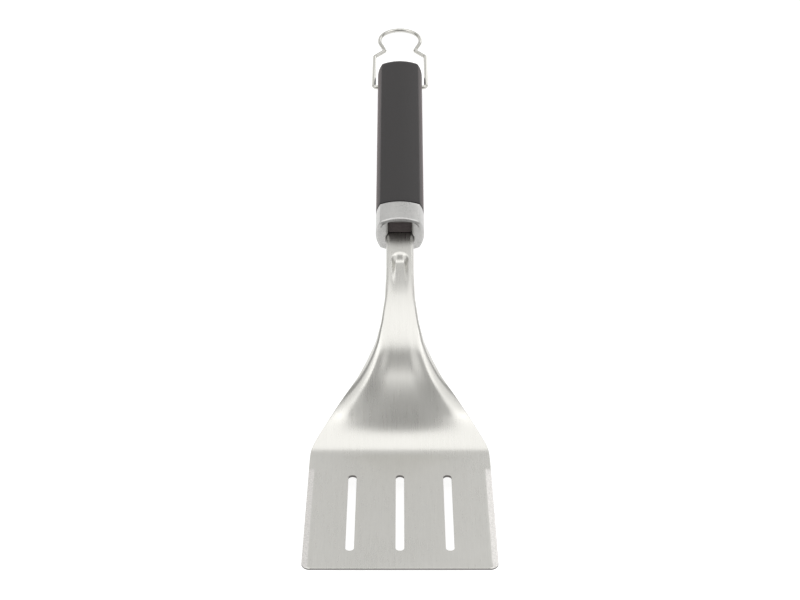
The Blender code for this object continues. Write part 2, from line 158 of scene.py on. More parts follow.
def shade(obj, sharp):
    obj.data.shade_smooth()
    obj.data.set_sharp_from_angle(angle=radians(sharp))


def tube(name, rings, ring_of_rings=False, sharp=35.0):
    """A closed skin through rings of points: its ends are fans to their middle, or last meets first."""
    rows, columns = rings.shape[:2]
    points = rings.reshape(-1, 3)
    faces = [grid_faces(rows, columns, close_rows=ring_of_rings)]
    if not ring_of_rings:
        points = np.vstack([points, rings[0].mean(axis=0), rings[-1].mean(axis=0)])
        around, onward = neighbours(columns)
        last = (rows - 1) * columns
        faces.append(fan(onward, around, rows * columns))
        faces.append(fan(last + around, last + onward, rows * columns + 1))
    return finish_mesh(name, points, faces, sharp)


# %% [markdown]
# ## Shader sums in Python
#
# A procedural finish is arithmetic on noise. Wrapping a node's output in a class that knows +, -, * and /
# lets a finish read like a formula, and each sign adds one Math node. Every other node comes from the one
# method `node`, which takes the node's type, its settings and the values or links of its sockets.


# %% Shader helper
OBJECT_OUTPUT = 3  # the Object output's number on a Texture Coordinate node


class Value:
    """A shader socket with arithmetic."""

    def __init__(self, tree, socket=None):
        self.tree, self.socket = tree, socket

    def node(self, kind, settings=None, output=0, **sockets):
        """Adds a node; a socket's keyword is its name with _ for a space, or i and its number."""
        made = self.tree.nodes.new(kind)
        for key, setting in (settings or {}).items():
            setattr(made, key, setting)
        for key, value in sockets.items():
            numbered = key[0] == "i" and key[1:].isdigit()
            target = made.inputs[int(key[1:])] if numbered else made.inputs[key.replace("_", " ")]
            if isinstance(value, Value):
                self.tree.links.new(value.socket, target)
            else:
                target.default_value = value
        return Value(self.tree, made.outputs[output])

    def math(self, operation, *values):
        sockets = {f"i{number}": value for number, value in enumerate(values)}
        return self.node("ShaderNodeMath", {"operation": operation}, **sockets)

    def __add__(self, other):
        return self.math("ADD", self, other)

    def __sub__(self, other):
        return self.math("SUBTRACT", self, other)

    def __mul__(self, other):
        return self.math("MULTIPLY", self, other)

    def __truediv__(self, other):
        return self.math("DIVIDE", self, other)

    def __rsub__(self, other):
        return self.math("SUBTRACT", other, self)

    __radd__, __rmul__ = __add__, __mul__

    def clamp(self):
        return self.math("MINIMUM", self.math("MAXIMUM", self, 0.0), 1.0)


def finish_named(name, colour, roughness, metallic=0.0, **extra):
    """A material, its Principled node and a Value to start sums from; uniform numbers sit on the node."""
    made = bpy.data.materials.new(name)
    made.use_nodes = True
    shader = made.node_tree.nodes["Principled BSDF"]
    shader.inputs["Base Color"].default_value = (*colour, 1.0)
    shader.inputs["Roughness"].default_value = roughness
    shader.inputs["Metallic"].default_value = metallic
    for key, value in extra.items():
        shader.inputs[key.replace("_", " ")].default_value = value
    return made, shader, Value(made.node_tree)


def coordinate(start, axis):
    """One Object coordinate: 0 for X, 1 for Y, 2 for Z."""
    where = start.node("ShaderNodeTexCoord", output=OBJECT_OUTPUT)
    return start.node("ShaderNodeSeparateXYZ", output=axis, Vector=where)


def noise(start, scale, detail=2.0, stretch=(1.0, 1.0, 1.0), roughness=0.5):
    """Noise on Object coordinates; scale is in features a metre, and stretch multiplies it on each axis."""
    where = start.node("ShaderNodeTexCoord", output=OBJECT_OUTPUT)
    placed = start.node("ShaderNodeMapping", Vector=where, Scale=tuple(scale * s for s in stretch))
    return start.node("ShaderNodeTexNoise", Vector=placed, Scale=1.0, Detail=detail, Roughness=roughness)


def tinted(start, dark, light, amount):
    """A colour between two, each plain numbers or a Value, by an amount from 0 to 1."""
    first, second = (colour if isinstance(colour, Value) else (*colour, 1.0) for colour in (dark, light))
    return start.node("ShaderNodeMix", {"data_type": "RGBA"}, output=2, i0=amount, i6=first, i7=second)


def wire_up(start, shader, **links):
    """Links Values to the shader's sockets, each keyword a socket's name with _ for a space."""
    for key, value in links.items():
        start.tree.links.new(value.socket, shader.inputs[key.replace("_", " ")])


def bumped(start, height, strength, distance):
    return start.node("ShaderNodeBump", Height=height, Strength=strength, Distance=distance)


# %% [markdown]
# ## The steel's finish
#
# The head is stamped from stainless sheet and brushed along its length, which leaves fine short scratches.
# Noise squeezed across and stretched along the tool gives them. They move the colour, the roughness and the
# height a little, and a slower cloud varies the tone as handling and pressing do. The blade's side bands are
# ground, so they get a speckle instead. Its cut edges are rougher, and their colour is darkened as painted
# shade on those narrow walls.


# %% Brushed steel
def brushed_steel(band_inner, band_back):
    """Brushed sheet, with paler ground bands beyond `band_inner` from the middle and ahead of `band_back`,
    and painted shade on the cut edges.
    """
    made, shader, start = finish_named("brushed_stainless", (0.57, 0.56, 0.53), 0.28, 1.0)
    scratches = noise(start, 1500.0, 3.0, (1.0, 0.055, 0.055), 0.6)
    streaks = noise(start, 420.0, 2.0, (1.0, 0.05, 0.05))
    clouds = noise(start, 24.0, 3.0)
    speckle = noise(start, 1300.0, 3.0)
    outside = ((start.math("ABSOLUTE", coordinate(start, 0)) - band_inner) / 0.0004).clamp()
    in_front = ((band_back - coordinate(start, 1)) / 0.002).clamp()
    band = outside * in_front
    # painted shade: the cut edges' faces are darkened in colour to stand for the shade on those narrow walls
    edge = start.node("ShaderNodeAttribute", {"attribute_name": "cut_edge"}, output=2)
    tone = (0.5 * scratches + 0.2 * streaks + 0.3 * clouds).clamp()
    brushed = tinted(start, (0.50, 0.494, 0.467), (0.63, 0.622, 0.595), tone)
    ground = tinted(start, (0.50, 0.49, 0.475), (0.74, 0.72, 0.70), ((speckle - 0.5) * 2.0 + 0.5).clamp())
    faced = tinted(start, brushed, ground, band)
    wire_up(
        start, shader,
        # painted shade on the cut edges: this dark colour stands for shade, not for the steel's own colour
        Base_Color=tinted(start, faced, (0.16, 0.15, 0.145), edge),
        Roughness=0.22 + 0.08 * scratches + 0.05 * clouds + 0.10 * band + 0.15 * edge,
        Normal=bumped(start, scratches + 0.4 * streaks + 1.5 * band * speckle, 0.12, 0.00005),
    )
    return made


# %% [markdown]
# ## The head: one stamped sheet
#
# The blade, the steep dish, the neck and the tang are one piece of sheet, so they are one surface here. Its
# middle line is bent in side view: its slope against length comes from a short table, and adding up the
# slope gives its height. Across that line the sheet is shaped by five things, eased from tables of their own:
#
# - the outline's half width,
# - a dish that narrows to a channel with a raised round end,
# - a shallow bow across the whole width of the heel,
# - a droop of the edges beside the steep part,
# - an edge rolled down along the neck.
#
# The tables repeat the mechanical model's driving sizes, so the fine surface lies in the same place.

# %% Sizes of the sheet
SHEET = 1.4
BLADE_HALF, CORNER_RADIUS = 53.25, 5.0
SLOT_WIDTH, SLOT_PITCH, SLOT_START, SLOT_END = 4.8, 27.5, 15.5, 88.0
NECK_END, TANG_WIDTH, TANG_LENGTH = 272.0, 13.0, 96.0
TANG_START, TANG_FULL = 2.5, 7.0
CHANNEL_END, CHANNEL_RAMP = 247.0, 7.5  # where the channel's end starts to rise, and its run
ROLL_ARC, FLANGE = 3.2, 4.0
NARROW_HALF = 8.0  # below this half width the edge's arc shrinks in proportion
GRIND_SIDE, GRIND_FRONT = 3.5, 4.8  # widths of the ground bevels
GRIND_SIDE_DEPTH, GRIND_FRONT_DEPTH = 0.55, 0.3
GRIND_START = 96.0  # how far back from the front edge the side bevels reach
DEBURR = 0.3  # radius that softens the sheet's cut edges

# Upward slope of the sheet's crest, in degrees, against length along it
SLOPE = ((0, 0), (109, 0), (114, 18), (120, 30), (126, 40.5), (132, 48), (138, 49.5), (146, 48.2),
         (156, 44.1), (162, 42.4), (168, 43.2), (173, 43.4), (180, 36.9), (188, 32.2), (196, 27.3),
         (210, 22), (228, 18), (250, 16), (400, 16))
# Half width of the outline
HALF_WIDTH = ((104, 53.25), (112, 53.1), (117, 51.8), (124, 48.6), (136, 41.6), (148, 34.0), (160, 26.0),
              (172, 19.8), (184, 15.1), (198, 11.7), (216, 9.6), (240, 8.85), (400, 8.85))
# Half width of the dish, and of the channel that it narrows to
DISH_HALF = ((0, 31), (136, 31), (146, 25.5), (156, 19.5), (166, 15.0), (176, 11.6), (186, 9.0), (196, 7.6),
             (208, 6.6), (220, 6.2), (400, 6.2))
# Depth of the dish and of the channel
DISH_DEPTH = ((0, 0), (136, 0), (146, 0.4), (156, 0.9), (163, 1.25), (169, 1.2), (176, 0.8), (184, 0.45),
              (192, 0.25), (218, 0.3), (226, 0.7), (234, 1.6), (241, 2.5), (247, 3.0), (400, 3.0))
DISH_FLOOR = 0.38  # share of the dish's half width that stays level before its wall rises
DISH_MOST = 0.93  # the most of the half width inside the edge strip that the dish can take
# How far the sheet bows down across its width, at BOW_REACH from the middle
BOW_REACH = 35.0
CROSS_BOW = ((0, 0), (119, 0), (124, 0.3), (130, 0.9), (138, 2.4), (148, 3.0), (160, 1.9), (172, 0.6),
             (184, 0), (400, 0))
# How far the sheet's edges droop beside the steep part
EDGE_DROOP = ((0, 0), (121, 0), (132, 0.7), (142, 1.7), (154, 3.0), (166, 2.9), (178, 1.7), (190, 0.5),
              (200, 0), (400, 0))
# How far the edges are rolled down, from flat to ROLL_ANGLE
ROLL_ANGLE = 86.0
EDGE_ROLL = ((0, 0), (146, 0), (166, 0.45), (186, 0.9), (200, 1), (400, 1))


# %% The sheet's side view
def eased(table, length):
    """A table's value at each length, averaged over 6 mm so that its corners round off."""
    places, values = np.array(table, float).T
    offsets = np.linspace(-3.0, 3.0, 13).reshape((-1,) + (1,) * np.ndim(length))
    return np.interp(np.asarray(length) + offsets, places, values).mean(axis=0)


def middle_line(length):
    """Forward, height and slope at each length: the slope's cosine and sine, added up in small steps."""
    step = 0.25
    steps = np.arange(0.0, NECK_END + TANG_LENGTH + step, step)
    slopes = np.radians(eased(SLOPE, steps))
    forward = np.concatenate([[0.0], np.cumsum(np.cos(slopes[:-1]) * step)])
    height = np.concatenate([[0.0], np.cumsum(np.sin(slopes[:-1]) * step)])
    return tuple(np.interp(length, steps, values) for values in (forward, height, slopes))


neck_forward, neck_height, neck_slope = (float(value) for value in middle_line(NECK_END))
neck_middle = tool.world(0.0, neck_forward + SHEET / 2 * np.sin(neck_slope), neck_height + SHEET / 2)
handle = Place(neck_middle, tool.pitch + neck_slope)
print(f"handle pitch {np.degrees(handle.pitch):.2f} degrees")


# %% The sheet's surface
def smooth_rise(value):
    """0 below 0, 1 above 1, and half a cosine wave between."""
    return (1.0 - np.cos(np.pi * np.clip(value, 0.0, 1.0))) / 2


def tang_share(length):
    """How far the outline has gone from the neck's width, 0, to the tang's, 1."""
    return np.clip((length - NECK_END - TANG_START) / (TANG_FULL - TANG_START), 0.0, 1.0)


def half_outline(length):
    """Half width: a quarter circle at the front corner, then the table, then the narrower tang."""
    corner = np.clip(CORNER_RADIUS - length, 0.0, CORNER_RADIUS)
    half = eased(HALF_WIDTH, length) - CORNER_RADIUS + np.sqrt(CORNER_RADIUS**2 - corner**2)
    return half + tang_share(length) * (TANG_WIDTH / 2 - half)


def sheet_half(length, inner=26, outer=12, arc=12, flange=7):
    """Across-positions and drops of the upper face from the middle to one edge, for a column of lengths.

    The edge strip bends on an arc of length ROLL_ARC through the roll angle, then runs straight. The dish
    rises by a half cosine wave from its middle to its rim. The droop grows with distance to the power 1.5.
    """
    length = length[:, None]
    half = half_outline(length)
    roll = eased(EDGE_ROLL, length) * (1.0 - tang_share(length))
    bend = np.maximum(radians(ROLL_ANGLE) * roll, 1e-4)
    straight = GRIND_SIDE - ROLL_ARC + (FLANGE - GRIND_SIDE + ROLL_ARC) * roll
    arc_length = ROLL_ARC * np.minimum(1.0, half / NARROW_HALF)
    turned = bend * np.linspace(0.0, 1.0, arc + 1)
    run = straight * (1.0 - np.linspace(1.0, 0.0, flange) ** 1.8)
    radius = arc_length / bend
    edge_x = np.hstack([radius * np.sin(turned), radius * np.sin(bend) + run * np.cos(bend)])
    edge_drop = np.hstack([radius * (1 - np.cos(turned)), radius * (1 - np.cos(bend)) + run * np.sin(bend)])
    begin = half - edge_x[:, -1:]
    dish = np.minimum(eased(DISH_HALF, length), DISH_MOST * begin)
    x = np.hstack([
        dish * np.linspace(0.0, 1.0, inner + 1)[:-1],
        dish + (begin - dish) * np.linspace(0.0, 1.0, outer + 1)[:-1],
        begin + edge_x,
    ])
    up_end = np.maximum(0.0, length - CHANNEL_END) / CHANNEL_RAMP
    floor = DISH_FLOOR * (1.0 - np.minimum(up_end, 1.0))
    up_wall = np.maximum(0.0, x / dish - floor) / (1.0 - floor)
    drop = eased(DISH_DEPTH, length) * (1.0 - smooth_rise(np.hypot(up_wall, up_end)))
    drop[:, inner + outer:] += edge_drop
    outward = np.clip((x - dish) / (half - dish), 0.0, 1.0)
    droop = eased(EDGE_DROOP, length) * outward**1.5
    return x, drop + droop + eased(CROSS_BOW, length) * (x / BOW_REACH) ** 2


def sheet_faces(length):
    """Upper and lower faces of the sheet in the tool's frame, millimetres, as two grids of points.

    The lower face is the upper one moved back along its normal by the thickness. Near the blade's sides and
    front the bevels thin it, and near a cut edge both faces are drawn together on a quarter circle.
    """
    x_half, drop_half = sheet_half(length)
    x = np.hstack([-x_half[:, :0:-1], x_half])
    drop = np.hstack([drop_half[:, :0:-1], drop_half])
    forward, height, slope = (value[:, None] for value in middle_line(length))
    top = np.stack([x, forward + drop * np.sin(slope), SHEET + height - drop * np.cos(slope)], axis=-1)
    lengthwise, sideways = np.gradient(top, axis=0), np.gradient(top, axis=1)
    normal = np.cross(sideways, lengthwise)
    normal /= np.linalg.norm(normal, axis=-1, keepdims=True)
    bottom = top - SHEET * normal
    gaps = np.linalg.norm(np.diff(top, axis=1), axis=-1)
    from_left = np.hstack([np.zeros((len(length), 1)), np.cumsum(gaps, axis=1)])
    to_side = np.minimum(from_left, from_left[:, -1:] - from_left)
    to_front = np.broadcast_to(length[:, None], to_side.shape)
    side_grind = GRIND_SIDE_DEPTH * np.clip(1 - to_side / GRIND_SIDE, 0, 1)
    side_grind *= smooth_rise((GRIND_START - length[:, None]) / 4.0)
    front_grind = GRIND_FRONT_DEPTH * np.clip(1 - to_front / GRIND_FRONT, 0, 1)
    ground = np.maximum(side_grind, front_grind)
    nearest = np.clip(np.minimum(to_side, to_front) / DEBURR, 0.0, 1.0)
    drawn_in = DEBURR * (1.0 - np.sqrt(1.0 - (1.0 - nearest) ** 2))
    top = top - normal * (ground + drawn_in)[..., None]
    return top, bottom + normal * drawn_in[..., None]


def sheet_lengths():
    """Where the sheet is sectioned: close at the front edge and the channel's end, sparse on the tang."""
    return np.concatenate([
        [0.0, 0.05, 0.14, 0.3, 0.6, 1.0],
        np.linspace(1.4, GRIND_FRONT, 9),
        np.linspace(GRIND_FRONT + 1.2, 104.0, 60),
        np.arange(105.0, CHANNEL_END - 1.0, 0.9),
        np.arange(CHANNEL_END - 0.5, CHANNEL_END + CHANNEL_RAMP + 0.5, 0.4),
        np.arange(CHANNEL_END + CHANNEL_RAMP + 1.0, NECK_END + 8.0, 0.9),
        np.linspace(NECK_END + 9.0, NECK_END + TANG_LENGTH, 12),
    ])


def sheet_object(name):
    """The two faces as one closed skin: a wall of quads joins them along all four sides."""
    lengths = sheet_lengths()
    top, bottom = sheet_faces(lengths)
    rows, columns = top.shape[:2]
    count = rows * columns
    points = np.concatenate([top, bottom]).reshape(-1, 3)
    upper = grid_faces(rows, columns, close_columns=False)
    lower = grid_faces(rows, columns, close_columns=False, start=count)[:, ::-1]
    down = np.arange(rows - 1) * columns
    left = np.stack([down, down + columns, count + down + columns, count + down], axis=-1)
    right = (left + columns - 1)[:, ::-1]
    over = np.arange(columns - 1)
    front = np.stack([over + 1, over, count + over, count + over + 1], axis=-1)
    back = (front + (rows - 1) * columns)[:, ::-1]
    world = tool.world(points[:, 0], points[:, 1], points[:, 2])
    return finish_mesh(name, world, [upper, lower, left, right, front, back])


# %% [markdown]
# ## The slots
#
# Three slots let fat drain. A slot is a punched hole with round ends, so it is cut with a Boolean: a tall
# prism on the slot's outline is taken away from the sheet. The result is made a plain mesh at once, so that
# nothing live is left on the head.


# %% Cut the slots
def slot_prism(across):
    """A prism whose outline is two half circles joined by straight sides."""
    radius = SLOT_WIDTH / 2
    turns = np.linspace(0.0, np.pi, 33)
    far = np.stack([across + radius * np.cos(turns), SLOT_END - radius + radius * np.sin(turns)], axis=-1)
    near = (2 * across, SLOT_START + SLOT_END) - far  # the far end turned half round
    outline = np.vstack([far, near])
    rings = [tool.world(outline[:, 0], outline[:, 1], z) for z in (-6.0, 8.0)]
    return tube("slot_prism", np.stack(rings))


def cut(obj, cutters, sharp=35.0):
    """Takes the cutters away from the object and leaves a plain mesh."""
    for cutter in cutters:
        modifier = obj.modifiers.new("Cut", "BOOLEAN")
        modifier.object = cutter
    graph = bpy.context.evaluated_depsgraph_get()
    solid = bpy.data.meshes.new_from_object(obj.evaluated_get(graph))
    obj.modifiers.clear()
    obj.data = solid
    for cutter in cutters:
        bpy.data.objects.remove(cutter, do_unlink=True)
    shade(obj, sharp)


def mark_cut_edges(obj):
    """A face attribute that is 1 on the flat blade's cut edges: its faces that stand square to it. The finish
    paints shade there.
    """
    mesh = obj.data
    normals, centres = np.empty(len(mesh.polygons) * 3), np.empty(len(mesh.polygons) * 3)
    mesh.polygons.foreach_get("normal", normals)
    mesh.polygons.foreach_get("center", centres)
    upright = np.abs(normals.reshape(-1, 3) @ tool.up) < 0.5
    ahead = (centres.reshape(-1, 3) - tool.origin) @ tool.along < MM * GRIND_START
    layer = mesh.attributes.new("cut_edge", "FLOAT", "FACE")
    layer.data.foreach_set("value", (upright & ahead).astype(np.float32))


head = sheet_object("blade_head_sheet")
cut(head, [slot_prism(place) for place in (-SLOT_PITCH, 0.0, SLOT_PITCH)])
mark_cut_edges(head)
steel = brushed_steel(MM * (BLADE_HALF - GRIND_SIDE), float(tool.world(0.0, GRIND_START, 0.0)[1]))
head.data.materials.clear()
head.data.materials.append(steel)
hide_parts("blade_head")
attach(head, "tool")
print("head faces:", len(head.data.polygons))

# %% [markdown]
# ## The handle's section
#
# Cut across, the handle is a cushion: crowned top and bottom faces meet rounded sides at four soft creases.
# Each face is one shallow arc, with its points at even angles. The ferrule has the same section, so one
# function serves both.

# %% Section function
HANDLE_HALF_WIDTH, HANDLE_HALF_HEIGHT = 15.5, 12.5
CREASE_X, CREASE_Z = 12.6, 9.9
FERRULE_LENGTH, FERRULE_SLANT = 17.5, 0.14
HANDLE_LENGTH, END_RADIUS = 169.4, 5.0
SKIN, GAP = 2.2, 0.3
LIP = 0.7  # radius of the grip's front lip
CLOSING_INSETS = (7.0, 9.0, 11.0)  # rings that close the grip's rear face


def arc_radius(half_chord, rise):
    """The radius of the arc that rises by `rise` over half a chord."""
    return (half_chord**2 + rise**2) / (2 * rise)


def section(inset=0.0, side_steps=14, face_steps=26):
    """The closed outline: a side arc up to the crease, a face arc to the middle, and their mirror images."""
    side_radius = arc_radius(CREASE_Z, HANDLE_HALF_WIDTH - CREASE_X)
    face_radius = arc_radius(CREASE_X, HANDLE_HALF_HEIGHT - CREASE_Z)
    side = np.linspace(0.0, np.arcsin(CREASE_Z / side_radius), side_steps)
    face = np.linspace(np.arcsin(CREASE_X / face_radius), 0.0, face_steps)[1:]
    x = np.concatenate([HANDLE_HALF_WIDTH - side_radius * (1 - np.cos(side)), face_radius * np.sin(face)])
    z = np.concatenate([side_radius * np.sin(side), HANDLE_HALF_HEIGHT - face_radius * (1 - np.cos(face))])
    x, z = x * (1 - inset / HANDLE_HALF_WIDTH), z * (1 - inset / HANDLE_HALF_HEIGHT)
    x = np.concatenate([x, -x[-2::-1], -x[1:], x[-2:0:-1]])
    z = np.concatenate([z, z[-2::-1], -z[1:], -z[-2:0:-1]])
    return x, z


def rings_of(stations):
    """World rings for (distance along the handle, inset, slant) of each station."""
    made = []
    for place, inset, slant in stations:
        x, z = section(inset)
        made.append(handle.world(x, place + slant * z, z))
    return np.stack(made)


# %% [markdown]
# ## The soft grip
#
# The grip is a soft-touch skin over a hard core. Its wall turns in over a small lip at the ferrule, and over
# a larger radius at the rear. It is a shell closed at the rear: one set of rings runs along the outside, a
# second runs back along the inside, and a strip joins them at the front lip.


# %% Soft grip
def soft_touch():
    """Matt near-black rubber with a fine pebble, and a warm sheen at the sides."""
    made, shader, start = finish_named(
        "soft_touch_black", (0.02, 0.019, 0.019), 0.5,
        Sheen_Weight=0.28, Sheen_Roughness=0.3, Sheen_Tint=(1.0, 0.80, 0.80, 1.0),
    )
    pebble = noise(start, 3200.0, 2.0)
    patches = noise(start, 38.0, 3.0)
    tone = (0.55 * pebble + 0.45 * patches).clamp()
    wire_up(
        start, shader,
        Base_Color=tinted(start, (0.007, 0.0062, 0.0062), (0.023, 0.0205, 0.0207), tone),
        Roughness=0.52 + 0.12 * pebble + 0.08 * patches,
        Normal=bumped(start, pebble, 0.35, 0.00008),
    )
    return made


def grip_stations():
    """Places and insets along the outside, with a quarter circle at each end, and along the inside.

    The inside repeats the outside in reverse, one skin further in, and one skin forward near the rear.
    """
    front, rear = FERRULE_LENGTH + GAP, HANDLE_LENGTH - END_RADIUS
    lip_turns, end_turns = np.linspace(0.0, np.pi / 2, 6), np.linspace(0.0, np.pi / 2, 14)
    outside = [(front + LIP * (1 - np.cos(a)), LIP * (1 - np.sin(a)), 0.0) for a in lip_turns]
    outside += [(place, 0.0, 0.0) for place in np.linspace(front + 3.0, rear - 2.0, 40)]
    outside += [(rear + END_RADIUS * np.sin(a), END_RADIUS * (1 - np.cos(a)), 0.0) for a in end_turns]
    outside += [(HANDLE_LENGTH, inset, 0.0) for inset in CLOSING_INSETS]
    inside = [(place - SKIN * (place > HANDLE_LENGTH - 12.0), inset + SKIN, 0.0)
              for place, inset, _ in outside[::-1][len(CLOSING_INSETS):]]
    return outside, inside


def grip_object():
    """The outer and inner skins, each closed at the rear by a fan, and joined by a strip at the front."""
    outer, inner = (rings_of(stations) for stations in grip_stations())
    rows, columns = outer.shape[:2]
    inner_rows = len(inner)
    count, total = rows * columns, (rows + inner_rows) * columns
    middles = np.stack([outer[-1].mean(axis=0), inner[0].mean(axis=0)])
    around, onward = neighbours(columns)
    last, inner_last = count - columns, total - columns
    faces = [
        grid_faces(rows, columns),
        grid_faces(inner_rows, columns, start=count),
        fan(last + around, last + onward, total),
        fan(count + onward, count + around, total + 1),
        np.stack([inner_last + around, inner_last + onward, onward, around], axis=-1),
    ]
    points = np.vstack([outer.reshape(-1, 3), inner.reshape(-1, 3), middles])
    return finish_mesh("soft_grip_skin", points, faces, sharp=50.0)


grip = grip_object()
grip.data.materials.append(soft_touch())
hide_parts("soft_grip")
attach(grip, "tool")
print("grip faces:", len(grip.data.polygons))

# %% [markdown]
# ## The ferrule
#
# The ferrule is a plated collar with a satin finish. Its mouth's face leans, and a narrow groove under the
# top rim makes that rim stand out like a visor. The skin is a ring of rings: forward along the outside, over
# the front rim, across the face to the mouth, in through the mouth and back inside.


# %% Ferrule
def satin_chrome():
    """Satin plating with a fine grain and faint smears."""
    made, shader, start = finish_named("satin_chrome", (0.51, 0.507, 0.50), 0.28, 1.0)
    grain = noise(start, 2600.0, 2.0)
    smears = noise(start, 70.0, 3.0, (1.0, 0.5, 1.0))
    tone = ((grain - 0.5) * 1.8 + 0.25 + 0.5 * smears).clamp()
    wire_up(
        start, shader,
        Base_Color=tinted(start, (0.30, 0.298, 0.29), (0.62, 0.615, 0.605), tone),
        Roughness=0.20 + 0.12 * grain + 0.08 * smears,
        Normal=bumped(start, grain, 0.12, 0.00005),
    )
    return made


RIM = 1.6  # radius of the ferrule's front edge
MOUTH_HALF, MOUTH_LOW, MOUTH_HIGH = 9.15, -6.8, 10.2
MOUTH_STEP = 1.35  # how far each side of the mouth draws in above the neck
MOUTH_POWER = 9.0  # of the superellipse: a larger power has squarer corners
GROOVE_DEPTH = 1.1
# The soft rear edge, as (distance from the rear, inset)
REAR_EDGE = ((0.0, SKIN + 0.4), (0.0, 0.9), (0.1, 0.35), (0.4, 0.08))


def superellipse(bearing, half, tall, power):
    """The distance from the middle to a rounded rectangle's outline, on each bearing."""
    return (np.abs(np.cos(bearing) / half) ** power + np.abs(np.sin(bearing) / tall) ** power) ** (-1 / power)


def mouth_outline(grow=0.0):
    """The mouth: a superellipse on the section's bearings, drawn in above the neck to fit the insert."""
    x, z = section()
    middle = (MOUTH_LOW + MOUTH_HIGH) / 2
    bearing = np.arctan2(z - middle, x)
    across, high = MOUTH_HALF + grow, (MOUTH_HIGH - MOUTH_LOW) / 2 + grow
    radius = superellipse(bearing, across, high, MOUTH_POWER)
    x, z = radius * np.cos(bearing), middle + radius * np.sin(bearing)
    widest = across - MOUTH_STEP * smooth_rise((z + 1.4) / 3.2)
    return np.clip(x, -widest, widest), z


def visor_groove(share, z):
    """Depth of the narrow groove under the top rim: full along the crown, none at the sides."""
    along_crown = smooth_rise((z - 6.5) / 2.5)
    return GROOVE_DEPTH * along_crown * smooth_rise(share / 0.04) * smooth_rise((0.24 - share) / 0.06)


def ferrule_object():
    """Rings along the outside, a quarter circle over the rim, straight lines to the mouth, and the inside.

    The slant grows from nothing 12 mm back to its full value at the front face.
    """
    front = -FERRULE_SLANT * HANDLE_HALF_HEIGHT
    stations = [(FERRULE_LENGTH - back, inset, 0.0) for back, inset in REAR_EDGE]
    stations += [(place, 0.0, FERRULE_SLANT * max(0.0, 1 - (place - front) / 12.0))
                 for place in np.linspace(FERRULE_LENGTH - 0.8, front + RIM + 0.6, 16)]
    turns = np.linspace(0.0, np.pi / 2, 9)
    stations += [(front + RIM - RIM * np.sin(a), RIM * (1 - np.cos(a)), FERRULE_SLANT) for a in turns]
    rings = list(rings_of(stations))
    x0, z0 = section(RIM)
    x1, z1 = mouth_outline()
    for share in (0.0, 0.02, 0.04, 0.08, 0.12, 0.17, 0.2, 0.22, 0.25, 0.4, 0.6, 0.8, 0.96):
        x, z = x0 + share * (x1 - x0), z0 + share * (z1 - z0)
        rings.append(handle.world(x, front + FERRULE_SLANT * z + visor_groove(share, z0), z))
    for inward, shrink in ((0.06, 0.0), (0.35, -0.2), (4.0, -0.2)):
        x, z = mouth_outline(shrink)
        rings.append(handle.world(x, front + FERRULE_SLANT * z + inward, z))
    x, z = section(SKIN)
    rings.append(handle.world(x, np.full_like(x, 6.5), z))
    return tube("ferrule_collar", np.stack(rings), ring_of_rings=True, sharp=60.0)


collar = ferrule_object()
collar.data.materials.append(satin_chrome())
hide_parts("ferrule")
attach(collar, "tool")
print("ferrule faces:", len(collar.data.polygons))

# %% [markdown]
# ## The dark insert above the neck
#
# A moulded insert fills the mouth over the neck. Fine ribs run across its front. It is a rounded box drawn as
# rings of a superellipse: small ones grow over the ribbed front face, and two full ones make the body.


# %% Neck insert
INSERT_LOW, INSERT_HIGH, INSERT_HALF, INSERT_POWER = 1.0, 9.9, 7.75, 12.0
RIB_HEIGHT, RIB_COUNT = 0.28, 4  # half a rib's height, and ribs in half the insert's height


def dark_plastic(name, dark, light, roughness):
    """Moulded plastic with a fine grain in its colour, roughness and height."""
    made, shader, start = finish_named(name, dark, roughness)
    grain = noise(start, 1800.0, 2.0)
    wire_up(
        start, shader,
        Base_Color=tinted(start, dark, light, grain),
        Roughness=roughness + 0.12 * grain,
        Normal=bumped(start, grain, 0.2, 0.00005),
    )
    return made


def insert_object():
    """Rings of a rounded rectangle, with ribs as a cosine wave of the height on the front face."""
    turns = np.linspace(0.0, 2 * np.pi, 128, endpoint=False)
    middle, tall = (INSERT_LOW + INSERT_HIGH) / 2, (INSERT_HIGH - INSERT_LOW) / 2
    radius = superellipse(turns, INSERT_HALF, tall, INSERT_POWER)
    x, z = radius * np.cos(turns), radius * np.sin(turns)
    rings = []
    for share in np.linspace(0.05, 0.96, 26):
        ribs = RIB_HEIGHT * np.cos(2 * np.pi * RIB_COUNT * share * z / tall)
        leaning = FERRULE_SLANT * (middle + share * z)
        rings.append(handle.world(share * x, 0.1 + ribs + leaning, middle + share * z))
    rings.append(handle.world(x, 0.5 + FERRULE_SLANT * (middle + z), middle + z))
    rings.append(handle.world(x, np.full_like(x, 7.8), middle + z))
    return tube("neck_insert", np.stack(rings), sharp=40.0)


insert = insert_object()
insert_brown = dark_plastic("insert_brown", (0.050, 0.038, 0.037), (0.085, 0.070, 0.068), 0.42)
insert.data.materials.append(insert_brown)
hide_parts("neck_plug")
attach(insert, "tool")
print("insert faces:", len(insert.data.polygons))

# %% [markdown]
# ## The hanging loop
#
# The loop is one wire. Its middle line is drawn flat: out from the handle, along the leg, over the shoulder
# to the waist and round the ring. Corners are rounded by arcs, then the line is spaced evenly and a circle
# is carried along it. The wire lies in one plane, so the circle's two directions are that plane's normal and
# the line's own normal, and nothing twists.

# %% Loop sizes: half widths across, and distances from the hinge along
WIRE_RADIUS = 1.4
LEG_HALF, SHOULDER_HALF, WAIST_HALF = 18.4, 18.2, 10.7
SHOULDER_AT, WAIST_AT, RING_CENTRE, RING_RADIUS = 39.6, 47.6, 61.2, 14.75
WIRE_END = 9.2


